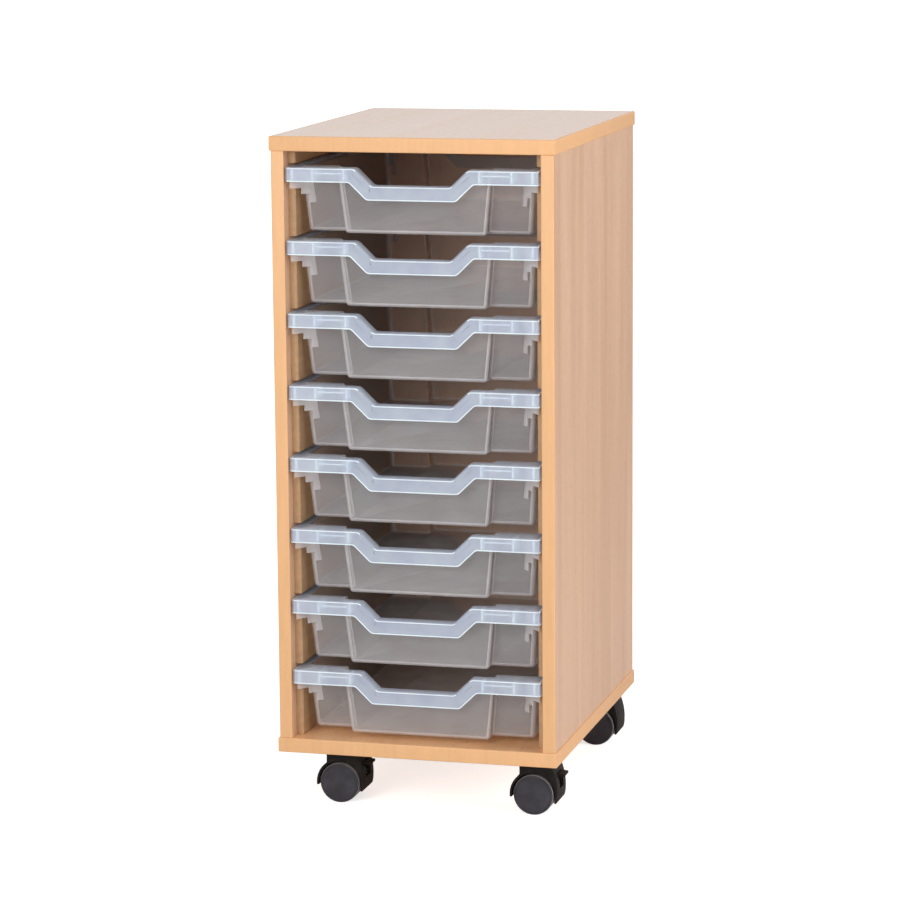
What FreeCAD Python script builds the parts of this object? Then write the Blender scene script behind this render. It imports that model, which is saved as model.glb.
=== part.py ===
import FreeCAD, Part
import math
import os

os.makedirs("parts", exist_ok=True)

# Mobile storage unit for eight shallow trays: a laminated board cabinet on four twin-wheel castors.
# Millimetres. X runs to the right, Y from front to back, Z up from the floor.
# The origin is on the floor, under the middle of the cabinet.

# ---------------------------------------------------------------- driving sizes: trays
tray_count = 8
tray_pitch = 88.0              # from one tray's rim to the next
tray_width = 312.0             # over the rim
tray_depth = 427.0             # over both end lips
tray_height = 80.0
tray_wall = 2.0
rim_corner_radius = 4.0
lip_height = 17.5              # front and back bands of the rim
side_lip_height = 7.0          # turned-down edge that rides in the runner groove
side_lip_setback = 9.0         # where the tall front band steps down to the side lip
runner_path_clearance = 1.5    # between the parts under the rim and the runners they slide past
handle_top_half = 69.5         # half length of the dip at the rim
handle_floor_half = 48.0       # half length of the dip's level part
handle_drop = 20.7
handle_lower_lag = 7.0         # the band's lower edge turns this much further out
wall_half_top = 146.0          # outside of the side walls, under the rim
wall_half_bottom = 139.0
nose_half_top = 96.0           # middle part of the end walls, which stands forward
nose_half_bottom = 87.0
nose_setback_top = 14.5
nose_setback_bottom = 18.0
recess_setback_top = 30.5      # outer parts of the end walls, which lie back
recess_setback_bottom = 39.5
wall_corner_cut = 4.0          # flat across each outer corner of the walls
rib_thickness = 1.6
rib_height = 15.0
rib_places = (83.5, 122.5)
gusset_thickness = 1.8
gusset_outer = (152.5, 8.5)    # plan points of the stepped gusset: across, back from the lip
gusset_inner = (128.0, 37.0)
gusset_steps = ((142.0, 26.5), (134.5, 34.0), (128.0, 45.0))   # step ends across, depth under the rim

# ---------------------------------------------------------------- driving sizes: cabinet
tray_side_clearance = 2.0
tray_back_clearance = 5.0
clearance_over_top_tray = 19.0
clearance_under_bottom_tray = 7.0
side_board_thickness = 16.0
back_board_thickness = 16.0
flat_board_thickness = 18.0    # top and base
edging_thickness = 2.0
edging_round = 1.5
side_front_setback = 1.0
runner_thickness = 9.0
runner_front_setback = 19.0
runner_back_clearance = 2.0
runner_edge_ease = 1.5
groove_clearance = 3.5         # above the rim in its groove
tongue_length = 50.0           # loose tongues that join the side boards to top and base
tongue_width = 20.0
tongue_thickness = 4.0
tongue_end_distance = 80.0

# ---------------------------------------------------------------- driving sizes: castors
castor_height = 68.0
castor_side_distance = 53.0    # stem axis from the cabinet's front, back and side faces
wheel_radius = 25.0
wheel_width = 20.0
wheel_gap = 1.0                # between each wheel and the web
wheel_trail = 16.5
wheel_chamfer = 2.0
hub_bore_depth = 15.0
axle_radius = 4.0
axle_end_clearance = 0.5
running_clearance = 0.05
web_thickness = 8.0
web_foot_radius = 15.0
hood_width = 47.0
hood_shell = 3.0
hood_wheel_clearance = 2.0
hood_top_clearance = 0.5       # under the stem's collar
hood_nose = 0.5                # hood's flat nose, forward of the stem axis
hood_boss_radius = 6.5         # round the stem's pin, standing out of the nose
hood_boss_length = 23.0
hood_top_length = 37.5         # hood's flat top, behind the stem axis
hood_shoulder = (44.3, 17.0)   # point that the hood's back passes: behind the stem, below its top
hood_lip_angle = 188.0         # where the leading lip ends, round the axle from the trailing side
hood_tail_angle = -20.0
stem_collar_radius = 9.0
stem_collar_thickness = 2.5
stem_pin_radius = 3.5
stem_pin_depth = 11.5
stem_shank_radius = 4.0
stem_shank_length = 13.0
insert_radius = 5.5
insert_length = 15.0
lever_pivot_radius = 30.0      # from the axle
lever_pivot_angle = 50.0
lever_barrel_radius = 3.0
lever_width = 20.0
lever_reach = 53.0             # tip, behind the stem axis
lever_root = 6.0
lever_tip = 3.0
lever_cam_reach = 4.5
lever_cam_half = 1.4
lever_side_clearance = 0.4
lever_seat_depth = 3.0         # barrel ends in the hood, beside the slot
lever_slot_drop = 17.0         # slot's lower end, below the pivot

# ---------------------------------------------------------------- sizes that follow
inner_width = tray_width + 2 * tray_side_clearance
body_width = inner_width + 2 * side_board_thickness
cabinet_width = body_width + 2 * edging_thickness
inner_depth = tray_depth + tray_back_clearance
cabinet_depth = inner_depth + back_board_thickness + edging_thickness
inner_height = (clearance_under_bottom_tray + tray_height + (tray_count - 1) * tray_pitch
                + clearance_over_top_tray)
front = -cabinet_depth / 2
back = cabinet_depth / 2
base_bottom = castor_height
base_top = base_bottom + flat_board_thickness
top_bottom = base_top + inner_height
axle_height = wheel_radius
hood_radius = wheel_radius + hood_wheel_clearance + hood_shell


def tray_rim_height(number):
    """Rim height of a tray above the floor, counted from the top."""
    lowest = base_top + clearance_under_bottom_tray + tray_height
    return lowest + (tray_count - number) * tray_pitch


# ---------------------------------------------------------------- helpers
def point(x, y, z):
    return FreeCAD.Vector(x, y, z)


def block(x_span, y_span, z_span):
    """Box between three pairs of limits."""
    corner = point(min(x_span), min(y_span), min(z_span))
    sizes = [abs(span[1] - span[0]) for span in (x_span, y_span, z_span)]
    return Part.makeBox(sizes[0], sizes[1], sizes[2], corner)


def rod(radius, length, start, direction):
    return Part.makeCylinder(radius, length, start, direction)


def rounded_wire(corners, radii):
    """Closed wire through the corners, each one rounded by its own radius; 0 keeps it sharp."""
    count = len(corners)
    arrivals = []
    departures = []
    arcs = []
    for index, corner in enumerate(corners):
        to_last = (corners[index - 1] - corner).normalize()
        to_next = (corners[(index + 1) % count] - corner).normalize()
        half_angle = to_last.getAngle(to_next) / 2
        radius = radii[index]
        reach = radius / math.tan(half_angle)
        arrivals.append(corner + to_last * reach)
        departures.append(corner + to_next * reach)
        if radius > 0:
            inward = (to_last + to_next).normalize()
            middle = corner + inward * (radius / math.sin(half_angle) - radius)
            arcs.append(Part.Arc(arrivals[-1], middle, departures[-1]).toShape())
        else:
            arcs.append(None)
    edges = []
    for index in range(count):
        if arcs[index] is not None:
            edges.append(arcs[index])
        start = departures[index]
        end = arrivals[(index + 1) % count]
        edges.append(Part.makeLine(start, end))
    return Part.Wire(edges)


def inset_corners(corners, inset):
    """Corners of an outline moved inward by one distance; the outline runs anticlockwise in plan."""
    up = point(0, 0, 1)
    moved = []
    for index, corner in enumerate(corners):
        arriving = (corner - corners[index - 1]).normalize()
        leaving = (corners[(index + 1) % len(corners)] - corner).normalize()
        normals = (up.cross(arriving), up.cross(leaving))
        moved.append(corner + (normals[0] + normals[1]) * (inset / (1 + normals[0].dot(normals[1]))))
    return moved


def extrude(wire, vector):
    return Part.Face(wire).extrude(vector)


def rounded_plate(half_x, half_y, radius, z_span):
    """Upright prism over a rectangle with round corners, centred on the Z axis."""
    corners = [point(-half_x, -half_y, z_span[0]), point(half_x, -half_y, z_span[0]),
               point(half_x, half_y, z_span[0]), point(-half_x, half_y, z_span[0])]
    return extrude(rounded_wire(corners, [radius] * 4), point(0, 0, z_span[1] - z_span[0]))


def mirrored(shape, normal):
    return shape.mirror(point(0, 0, 0), normal)


def four_way(shape):
    """The shape and its mirror images in the X and Y directions."""
    pair = [shape, mirrored(shape, point(1, 0, 0))]
    return pair + [mirrored(item, point(0, 1, 0)) for item in pair]


def export(name, shape):
    shape.exportStep("parts/" + name + ".step")


# ---------------------------------------------------------------- cabinet
def flat_board(z_bottom):
    """Top or base board, without its edging."""
    half_x = body_width / 2
    return block((-half_x, half_x), (front + edging_thickness, back - edging_thickness),
                 (z_bottom, z_bottom + flat_board_thickness))


def flat_board_edging(z_bottom):
    """Band of edging right round the top or base board, with its outer edges eased."""
    outside = block((-cabinet_width / 2, cabinet_width / 2), (front, back),
                    (z_bottom, z_bottom + flat_board_thickness))
    level_edges = [edge for edge in outside.Edges if edge.BoundBox.ZLength < edging_round]
    eased = outside.makeFillet(edging_round, level_edges)
    return eased.cut(flat_board(z_bottom))


def side_board(side):
    """Upright side board; side is -1 for left and 1 for right."""
    return block((side * inner_width / 2, side * body_width / 2),
                 (front + side_front_setback + edging_thickness, back - edging_thickness),
                 (base_top, top_bottom))


def side_edging(side):
    """Strip on the front edge of a side board, with its two front edges eased."""
    strip = block((side * inner_width / 2, side * body_width / 2),
                  (front + side_front_setback, front + side_front_setback + edging_thickness),
                  (base_top, top_bottom))
    front_edges = [edge for edge in strip.Edges
                   if edge.BoundBox.ZLength > inner_height / 2
                   and edge.BoundBox.YMax < front + side_front_setback + edging_thickness / 2]
    return strip.makeFillet(edging_round, front_edges)


def back_board():
    """Back board, between the side boards and between top and base."""
    return block((-inner_width / 2, inner_width / 2),
                 (front + inner_depth, front + inner_depth + back_board_thickness),
                 (base_top, top_bottom))


def runner_levels():
    """Lower and upper height of each runner strip on a side, from the top down."""
    levels = []
    upper = top_bottom
    for number in range(1, tray_count + 1):
        levels.append((tray_rim_height(number) + groove_clearance, upper))
        upper = tray_rim_height(number) - side_lip_height
    levels.append((base_top, upper))
    return levels


def runner(side, level):
    """Strip on the inside of a side board; the groove over it carries a tray's side lip."""
    inner_face = side * (inner_width / 2 - runner_thickness)
    strip = block((inner_face, side * inner_width / 2),
                  (front + runner_front_setback, front + inner_depth - runner_back_clearance),
                  level)
    corners = [edge for edge in strip.Edges
               if abs(edge.BoundBox.XMin - inner_face) < runner_edge_ease
               and edge.BoundBox.XLength < runner_edge_ease
               and edge.BoundBox.YMax < front + runner_front_setback + runner_edge_ease]
    return strip.makeChamfer(runner_edge_ease, corners)


def carcass_tongues():
    """Loose tongues that join the side boards to the top and base, half in each board."""
    across = (inner_width + side_board_thickness) / 2
    half_x = tongue_thickness / 2
    half_y = tongue_length / 2
    half_z = tongue_width / 2
    return [block((side * across - half_x, side * across + half_x), (y - half_y, y + half_y),
                  (z - half_z, z + half_z))
            for side in (-1, 1)
            for y in (front + tongue_end_distance, back - tongue_end_distance)
            for z in (base_top, top_bottom)]


# ---------------------------------------------------------------- tray, rim at z = 0 and centred on X and Y
def tray_corners(drop, inset):
    """Corners of the tray's walls at a depth under the rim: a nose at each end, recessed either side."""
    share = drop / tray_height

    def between(top, bottom):
        return top + (bottom - top) * share

    side = between(wall_half_top, wall_half_bottom)
    nose = between(nose_half_top, nose_half_bottom)
    nose_end = tray_depth / 2 - between(nose_setback_top, nose_setback_bottom)
    recess_end = tray_depth / 2 - between(recess_setback_top, recess_setback_bottom)
    quarter = [(nose, nose_end), (nose, recess_end), (side, recess_end)]
    right = [(x, -y) for x, y in quarter] + [(x, y) for x, y in reversed(quarter)]
    left = [(-x, -y) for x, y in right]
    return inset_corners([point(x, y, -drop) for x, y in right + left], inset)


def tray_form(depth, inset):
    """Tapered solid from the rim plane down, inside the walls' outline by an inset."""
    top = tray_corners(0, inset)
    bottom = tray_corners(depth, inset)
    faces = [Part.Face(Part.makePolygon(ring + [ring[0]])) for ring in (top, bottom)]
    for index in range(len(top)):
        after = (index + 1) % len(top)
        ring = [top[index], top[after], bottom[after], bottom[index]]
        faces.append(Part.Face(Part.makePolygon(ring + [ring[0]])))
    return Part.Solid(Part.Shell(faces))


def eased_corners(form):
    """The form with a flat along the upright edges at its four outer corners."""
    inner_limit = (nose_half_top + wall_half_bottom) / 2
    uprights = [edge for edge in form.Edges
                if edge.BoundBox.ZLength > tray_height / 2
                and min(abs(edge.BoundBox.XMin), abs(edge.BoundBox.XMax)) > inner_limit]
    return form.makeChamfer(wall_corner_cut, uprights)


def handle_line(height, lag):
    """One edge of the end band, from left to right, with the dip of the handle in its middle."""
    half = tray_width / 2
    turn = handle_top_half + lag
    low = handle_floor_half + lag
    places = [(-half, 0), (-turn, 0), (-low, handle_drop), (low, handle_drop), (turn, 0), (half, 0)]
    return [point(x, -tray_depth / 2, height - drop) for x, drop in places]


def handle_prism(upper, upper_lag, lower, lower_lag):
    """Bar over the whole depth, between two edges of the end band."""
    corners = handle_line(upper, upper_lag) + list(reversed(handle_line(lower, lower_lag)))
    return extrude(Part.makePolygon(corners + [corners[0]]), point(0, tray_depth, 0))


def rim_skirt():
    """Outer band of the rim, with the handle's dip at both ends."""
    lowest = -(lip_height + handle_drop)
    outside = rounded_plate(tray_width / 2, tray_depth / 2, rim_corner_radius, (lowest, 0))
    inside = rounded_plate(tray_width / 2 - tray_wall, tray_depth / 2 - tray_wall,
                           rim_corner_radius - tray_wall, (lowest, 0))
    return outside.cut(inside).common(handle_prism(0, 0, -lip_height, handle_lower_lag))


def runner_paths():
    """Room under both side lips that the runners pass through, open at the back."""
    near = inner_width / 2 - runner_thickness - runner_path_clearance
    return [block((side * near, side * tray_width), (-tray_depth / 2 + side_lip_setback, tray_depth),
                  (-tray_height, -side_lip_height))
            for side in (-1, 1)]


def rim_plate():
    """Level top of the rim, which follows the handle's dip at both ends."""
    outside = rounded_plate(tray_width / 2, tray_depth / 2, rim_corner_radius,
                            (-handle_drop - tray_wall, 0))
    bend_lag = tray_wall * math.tan(math.atan2(handle_drop, handle_top_half - handle_floor_half) / 2)
    return outside.common(handle_prism(0, 0, -tray_wall, bend_lag))


def gusset():
    """Stepped upright plate across the front right corner, under the rim."""
    across = gusset_outer[0] - gusset_inner[0]
    back_run = gusset_inner[1] - gusset_outer[1]
    length = math.hypot(across, back_run)
    corners = [point(0, 0, -tray_wall / 2)]
    start = 0
    for end_across, depth in gusset_steps:
        run = (gusset_outer[0] - end_across) / across * length
        corners += [point(start, 0, -depth), point(run, 0, -depth)]
        start = run
    corners.append(point(length, 0, -tray_wall / 2))
    plate = extrude(Part.makePolygon(corners + [corners[0]]), point(0, gusset_thickness, 0))
    plate.translate(point(0, -gusset_thickness / 2, 0))
    plate.rotate(point(0, 0, 0), point(0, 0, 1), 180 - math.degrees(math.atan2(back_run, across)))
    plate.translate(point(gusset_outer[0], -tray_depth / 2 + gusset_outer[1], 0))
    return plate


def end_ribs():
    """Upright ribs between the front band and the wall, on the right."""
    ribs = []
    front_y = -tray_depth / 2 + tray_wall / 2
    span = (-rib_height - tray_wall / 2, -tray_wall / 2)
    for place in rib_places:
        across = (place - rib_thickness / 2, place + rib_thickness / 2)
        ribs.append(block(across, (front_y, -tray_depth / 2 + recess_setback_bottom), span))
    return ribs


def tray():
    """One moulded tray with its rim, handles, gussets and ribs; the front is at -Y."""
    outer = eased_corners(tray_form(tray_height, 0))
    cavity = eased_corners(tray_form(tray_height - tray_wall, tray_wall))
    stiffeners = []
    for piece in end_ribs() + [gusset()]:
        stiffeners += four_way(piece)
    solid = outer.fuse([rim_skirt(), rim_plate()] + stiffeners)
    above_handle = handle_prism(tray_height, 0, 0, 0)
    return solid.cut([cavity, above_handle] + runner_paths()).removeSplitter()


# ---------------------------------------------------------------- castor, stem axis on Z, base board at z = 0
hood_top = -(stem_collar_thickness + hood_top_clearance)
axle_z = axle_height - castor_height


def about_axle(radius, angle, y):
    """Point at a radius and angle (degrees) round the axle; angle 0 points to the trailing side."""
    turn = math.radians(angle)
    return point(wheel_trail + radius * math.cos(turn), y, axle_z + radius * math.sin(turn))


def across_disc(radius, y_span):
    start = point(wheel_trail, min(y_span), axle_z)
    return rod(radius, abs(y_span[1] - y_span[0]), start, point(0, 1, 0))


def hood_shell_form():
    """Hood over both wheels: flat nose and top, curved back, and a shell that ends at lip and tail."""
    y = -hood_width / 2
    inner = hood_radius - hood_shell
    nose_rise = math.sqrt(hood_radius ** 2 - (wheel_trail + hood_nose) ** 2)
    nose_foot = point(-hood_nose, y, axle_z + nose_rise)
    nose_top = point(-hood_nose, y, hood_top)
    top_end = point(hood_top_length, y, hood_top)
    shoulder = point(hood_shoulder[0], y, hood_top - hood_shoulder[1])
    waist = about_axle(hood_radius, 0, y)
    tail_outer = about_axle(hood_radius, hood_tail_angle, y)
    tail_inner = about_axle(inner, hood_tail_angle, y)
    lip_inner = about_axle(inner, hood_lip_angle, y)
    lip_outer = about_axle(hood_radius, hood_lip_angle, y)
    nose_foot_angle = math.degrees(math.atan2(nose_rise, -(wheel_trail + hood_nose)))
    lip_middle = about_axle(hood_radius, (hood_lip_angle + nose_foot_angle) / 2, y)
    edges = [Part.makeLine(nose_foot, nose_top), Part.makeLine(nose_top, top_end),
             Part.Arc(top_end, shoulder, waist).toShape(),
             Part.Arc(waist, about_axle(hood_radius, hood_tail_angle / 2, y), tail_outer).toShape(),
             Part.makeLine(tail_outer, tail_inner),
             Part.Arc(tail_inner, about_axle(inner, 90, y), lip_inner).toShape(),
             Part.makeLine(lip_inner, lip_outer),
             Part.Arc(lip_outer, lip_middle, nose_foot).toShape()]
    return extrude(Part.Wire(edges), point(0, hood_width, 0))


def hood(has_lever):
    """Swivelling housing: hood, middle web with the axle's seat, bore for the stem's pin."""
    half_web = web_thickness / 2
    inner = hood_radius - hood_shell
    foot = across_disc(web_foot_radius, (-half_web, half_web))
    web = across_disc(inner, (-half_web, half_web))
    below = block((wheel_trail - 2 * inner, wheel_trail + 2 * inner), (-half_web, half_web),
                  (axle_z - 2 * inner, axle_z))
    boss = rod(hood_boss_radius, hood_boss_length, point(0, 0, hood_top), point(0, 0, -1))
    boss = boss.cut(across_disc(inner, (-hood_boss_radius, hood_boss_radius)))
    body = hood_shell_form().fuse([web.cut(below), foot, boss])
    pin_bore = rod(stem_pin_radius + running_clearance, stem_pin_depth + hood_top_clearance,
                   point(0, 0, hood_top), point(0, 0, -1))
    body = body.cut([pin_bore, across_disc(axle_radius, (-half_web, half_web))])
    if has_lever:
        body = body.cut(lever_room())
    return body.removeSplitter()


def lever_room():
    """Slot through the hood's back for the brake lever, and the seats of its barrel."""
    pivot = about_axle(lever_pivot_radius, lever_pivot_angle, 0)
    half = lever_width / 2 + lever_side_clearance
    room = lever_barrel_radius + lever_side_clearance
    slot = block((pivot.x - room, hood_radius + lever_reach), (-half, half),
                 (pivot.z - lever_slot_drop, pivot.z + room))
    slot = slot.cut(across_disc(wheel_radius, (-half, half)))
    seat_length = lever_width + 2 * (lever_seat_depth + lever_side_clearance)
    seats = rod(lever_barrel_radius + running_clearance, seat_length,
                point(pivot.x, -seat_length / 2, pivot.z), point(0, 1, 0))
    return [slot, seats]


def brake_lever():
    """Foot lever with a pedal, a pressing cam over the treads and a barrel that it turns on."""
    pivot = about_axle(lever_pivot_radius, lever_pivot_angle, 0)
    y = -lever_width / 2
    barrel_length = lever_width + 2 * lever_seat_depth
    barrel = rod(lever_barrel_radius, barrel_length, point(pivot.x, -barrel_length / 2, pivot.z),
                 point(0, 1, 0))
    pedal_top = pivot.z + lever_barrel_radius
    corners = [point(pivot.x, y, pedal_top), point(lever_reach, y, pivot.z + lever_tip / 2),
               point(lever_reach, y, pivot.z - lever_tip / 2), point(pivot.x, y, pedal_top - lever_root)]
    pedal = extrude(Part.makePolygon(corners + [corners[0]]), point(0, lever_width, 0))
    cam = block((pivot.x - lever_cam_half, pivot.x + lever_cam_half), (y, -y),
                (pivot.z - lever_cam_reach, pivot.z))
    web_notch = block((pivot.x - 2 * lever_cam_half, pivot.x + 2 * lever_cam_half),
                      (-web_thickness, web_thickness),
                      (pivot.z - 2 * lever_cam_reach, pivot.z - lever_barrel_radius))
    return barrel.fuse([pedal, cam.cut(web_notch)]).removeSplitter()


def stem():
    """Steel stem: shank in the base board's insert, collar, and the pin that the hood turns on."""
    shank = rod(stem_shank_radius, stem_shank_length, point(0, 0, 0), point(0, 0, 1))
    collar = rod(stem_collar_radius, stem_collar_thickness, point(0, 0, 0), point(0, 0, -1))
    pin = rod(stem_pin_radius, stem_pin_depth + hood_top_clearance,
              point(0, 0, -stem_collar_thickness), point(0, 0, -1))
    return shank.fuse([collar, pin]).removeSplitter()


def insert_sleeve():
    """Sleeve let into the base board for a stem."""
    sleeve = rod(insert_radius, insert_length, point(0, 0, 0), point(0, 0, 1))
    return sleeve.cut(rod(stem_shank_radius, stem_shank_length, point(0, 0, 0), point(0, 0, 1)))


def wheel(side):
    """Wheel on one side of the web: flat outer face, chamfered tread and blind bore."""
    inside = web_thickness / 2 + wheel_gap
    outside = inside + wheel_width
    bore = axle_radius + running_clearance
    profile = [(0, outside), (wheel_radius - wheel_chamfer, outside),
               (wheel_radius, outside - wheel_chamfer), (wheel_radius, inside), (bore, inside),
               (bore, inside + hub_bore_depth), (0, inside + hub_bore_depth)]
    corners = [point(wheel_trail + radius, side * y, axle_z) for radius, y in profile]
    face = Part.Face(Part.makePolygon(corners + [corners[0]]))
    return face.revolve(point(wheel_trail, 0, axle_z), point(0, 1, 0), 360)


def axle():
    """Axle pin through the web into both hubs."""
    half = web_thickness / 2 + wheel_gap + hub_bore_depth - axle_end_clearance
    return across_disc(axle_radius, (-half, half))


# ---------------------------------------------------------------- assembly
def castor_places():
    """Name, stem place and whether the castor has a brake."""
    across = cabinet_width / 2 - castor_side_distance
    ahead = front + castor_side_distance
    behind = back - castor_side_distance
    return [("front_left", point(-across, ahead, castor_height), True),
            ("front_right", point(across, ahead, castor_height), True),
            ("rear_left", point(-across, behind, castor_height), False),
            ("rear_right", point(across, behind, castor_height), False)]


def placed(shape, place):
    copy = shape.copy()
    copy.translate(place)
    return copy


def build_cabinet():
    tongues = carcass_tongues()
    inserts = [placed(insert_sleeve(), place) for name, place, braked in castor_places()]
    insert_holes = [placed(rod(insert_radius, insert_length, point(0, 0, 0), point(0, 0, 1)), place)
                    for name, place, braked in castor_places()]
    export("top_board", flat_board(top_bottom).cut(tongues))
    export("top_edging", flat_board_edging(top_bottom))
    export("base_board", flat_board(base_bottom).cut(tongues + insert_holes))
    export("base_edging", flat_board_edging(base_bottom))
    export("back_board", back_board())
    for side, word in ((-1, "left"), (1, "right")):
        export(word + "_side_board", side_board(side).cut(tongues))
        export(word + "_side_edging", side_edging(side))
        for number, level in enumerate(runner_levels(), 1):
            export(word + "_runner_" + str(number), runner(side, level))
    export("carcass_tongues", Part.makeCompound(tongues))
    export("castor_inserts", Part.makeCompound(inserts))


def build_trays():
    model = tray()
    for number in range(1, tray_count + 1):
        place = point(0, front + tray_depth / 2, tray_rim_height(number))
        export("tray_" + str(number), placed(model, place))


def build_castors():
    pieces = {"stem": stem(), "axle": axle(), "wheel_front": wheel(-1), "wheel_back": wheel(1)}
    hoods = {True: hood(True), False: hood(False)}
    lever = brake_lever()
    for name, place, braked in castor_places():
        for piece, shape in pieces.items():
            export(name + "_" + piece, placed(shape, place))
        export(name + "_hood", placed(hoods[braked], place))
        if braked:
            export(name + "_brake_lever", placed(lever, place))


build_cabinet()
build_trays()
build_castors()
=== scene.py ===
import math

import bmesh
import bpy
from mathutils import Matrix, Vector


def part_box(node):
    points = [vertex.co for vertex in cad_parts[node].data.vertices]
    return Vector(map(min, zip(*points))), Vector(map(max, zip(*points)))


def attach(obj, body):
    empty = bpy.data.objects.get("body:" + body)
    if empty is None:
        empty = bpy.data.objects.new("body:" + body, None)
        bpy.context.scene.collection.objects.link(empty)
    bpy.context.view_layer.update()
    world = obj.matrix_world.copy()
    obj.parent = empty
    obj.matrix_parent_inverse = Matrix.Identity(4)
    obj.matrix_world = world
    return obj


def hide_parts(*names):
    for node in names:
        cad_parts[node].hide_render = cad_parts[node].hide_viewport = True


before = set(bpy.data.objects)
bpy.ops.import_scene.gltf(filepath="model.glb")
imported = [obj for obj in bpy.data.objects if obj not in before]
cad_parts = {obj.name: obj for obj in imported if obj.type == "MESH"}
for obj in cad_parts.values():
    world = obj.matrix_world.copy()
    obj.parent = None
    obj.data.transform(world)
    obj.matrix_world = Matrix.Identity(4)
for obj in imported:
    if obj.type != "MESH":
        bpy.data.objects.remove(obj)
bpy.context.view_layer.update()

bl_info = {
    "name": "Tray storage unit",
    "version": (1, 0, 0),
    "blender": (4, 5, 0),
    "location": "3D View > Sidebar > Tray unit",
    "description": "Dresses a mobile tray storage unit: boards, edging, moulded trays and twin-wheel castors",
    "category": "Object",
}

MM = 0.001
SINK = 0.2 * MM                # how deep a piece that is set on another one reaches into it
WELD = 0.01 * MM               # points closer than this are one point
SKIN_SHARE = 0.95              # share of the walls' thickness that the moulding has
TRAY_LOW, TRAY_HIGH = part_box("tray_1")
LAST_TRAY_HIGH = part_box("tray_8")[1]
TRAY_COUNT = len([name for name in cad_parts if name.startswith("tray_")])
CASTORS = ("front_left", "front_right", "rear_left", "rear_right")


# ---------------------------------------------------------------- sizes and colours that a user may change
def length(name, description, default):
    return bpy.props.FloatProperty(name=name, description=description, default=default, unit="LENGTH")


def lengths(name, description, default):
    return bpy.props.FloatVectorProperty(name=name, description=description, default=default,
                                         size=3, unit="LENGTH")


def colour(name, description, default):
    return bpy.props.FloatVectorProperty(name=name, description=description, default=default,
                                         size=3, subtype="COLOR", min=0.0, max=1.0)


class TrayUnitTray(bpy.types.PropertyGroup):
    width: length("Width", "Over the rim", TRAY_HIGH.x - TRAY_LOW.x)
    depth: length("Depth", "Over both end lips", TRAY_HIGH.y - TRAY_LOW.y)
    height: length("Height", "From the rim to the underside", TRAY_HIGH.z - TRAY_LOW.z)
    wall: length("Wall", "Thickness of the moulding", 2.0 * MM)
    lip: length("Lip", "Height of the end bands", 17.5 * MM)
    side_lip: length("Side lip", "Height of the edge that rides on the runners", 7.0 * MM)
    # the bead's faces take the edge finish, a painted highlight along the bands' lower edge
    bead: length("Bead", "Height of the bright lower edge of the bands", 1.3 * MM)
    edge_round: length("Rim rounding", "Radius along the rim's outer edge", 2.1 * MM)
    corner: length("Rim corner", "Radius of the rim's corners in plan", 3.6 * MM)
    dip_top: length("Dip at the rim", "Half length of the handle's dip at the rim", 69.5 * MM)
    dip_floor: length("Dip floor", "Half length of the dip's level part", 48.0 * MM)
    dip_drop: length("Dip drop", "Depth of the handle's dip", 20.7 * MM)
    dip_lag: length("Dip lag", "How much further out the band's lower edge turns", 7.0 * MM)
    dip_bend: length("Dip bend", "Radius of the dip's bends", 7.0 * MM)
    side_top: length("Side at the rim", "Half width inside the side walls at the rim", 144.0 * MM)
    side_floor: length("Side at the floor", "Half width inside the side walls at the floor", 137.2 * MM)
    nose_top: length("Nose at the rim", "Half width inside the nose at the rim", 94.0 * MM)
    nose_floor: length("Nose at the floor", "Half width inside the nose at the floor", 85.2 * MM)
    nose_end_top: length("Nose end at the rim", "Half depth inside the nose at the rim", 197.0 * MM)
    nose_end_floor: length("Nose end at the floor", "Half depth inside the nose at the floor", 193.6 * MM)
    recess_top: length("Recess at the rim", "Half depth inside the recess at the rim", 181.0 * MM)
    recess_floor: length("Recess at the floor", "Half depth inside the recess at the floor", 172.2 * MM)
    notch: length("Notch", "Half width between the back notches for the runners", 147.5 * MM)
    band_setback: length("Band setback", "Where the tall front band steps down to the side lip", 9.0 * MM)
    fold: length("Fold rounding", "Radius along the upright folds of the nose", 1.8 * MM)
    floor_fold: length("Floor rounding", "Radius round the floor", 2.6 * MM)
    inner_round: length("Inner rounding", "Radius along the well's upper edge", 1.2 * MM)
    corner_fold: length("Corner rounding", "Radius along the walls' outer corners", 4.0 * MM)
    rib_depth: length("Rib depth", "From the rim to the ribs' lower edge", 16.0 * MM)
    rib_thickness: length("Rib thickness", "Thickness of the ribs behind the bands", 2.6 * MM)
    rib_round: length("Rib rounding", "Radius along the free edges of ribs and gussets", 0.3 * MM)
    side_rib: length("Side rib", "How far the outermost rib stands behind the band", 6.0 * MM)
    ribs: lengths("Rib places", "Half distances between the ribs, from the inside out",
                  (83.5 * MM, 122.5 * MM, 148.0 * MM))
    label_ledge: lengths("Label ledge", "Its inner end, its outer end and its depth under the rim",
                         (84.0 * MM, 122.0 * MM, 8.0 * MM))
    ledge_thickness: length("Ledge thickness", "Height of the label ledge", 1.8 * MM)
    ledge_reach: length("Ledge reach", "How far the label ledge stands behind the band", 1.2 * MM)
    gusset_thickness: length("Gusset thickness", "Thickness of the stepped corner plates", 1.8 * MM)
    gusset_start: lengths("Gusset start", "Its end at the rim's corner, across and behind the lip",
                          (152.5 * MM, 8.5 * MM, 0.0))
    gusset_end: lengths("Gusset end", "Its end at the wall, across and behind the lip",
                        (128.0 * MM, 37.0 * MM, 0.0))
    gusset_steps: lengths("Gusset steps", "Where each step ends, across",
                          (142.0 * MM, 134.5 * MM, 128.0 * MM))
    gusset_depths: lengths("Gusset depths", "Depth of each step under the rim",
                           (26.5 * MM, 34.0 * MM, 45.0 * MM))


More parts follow.
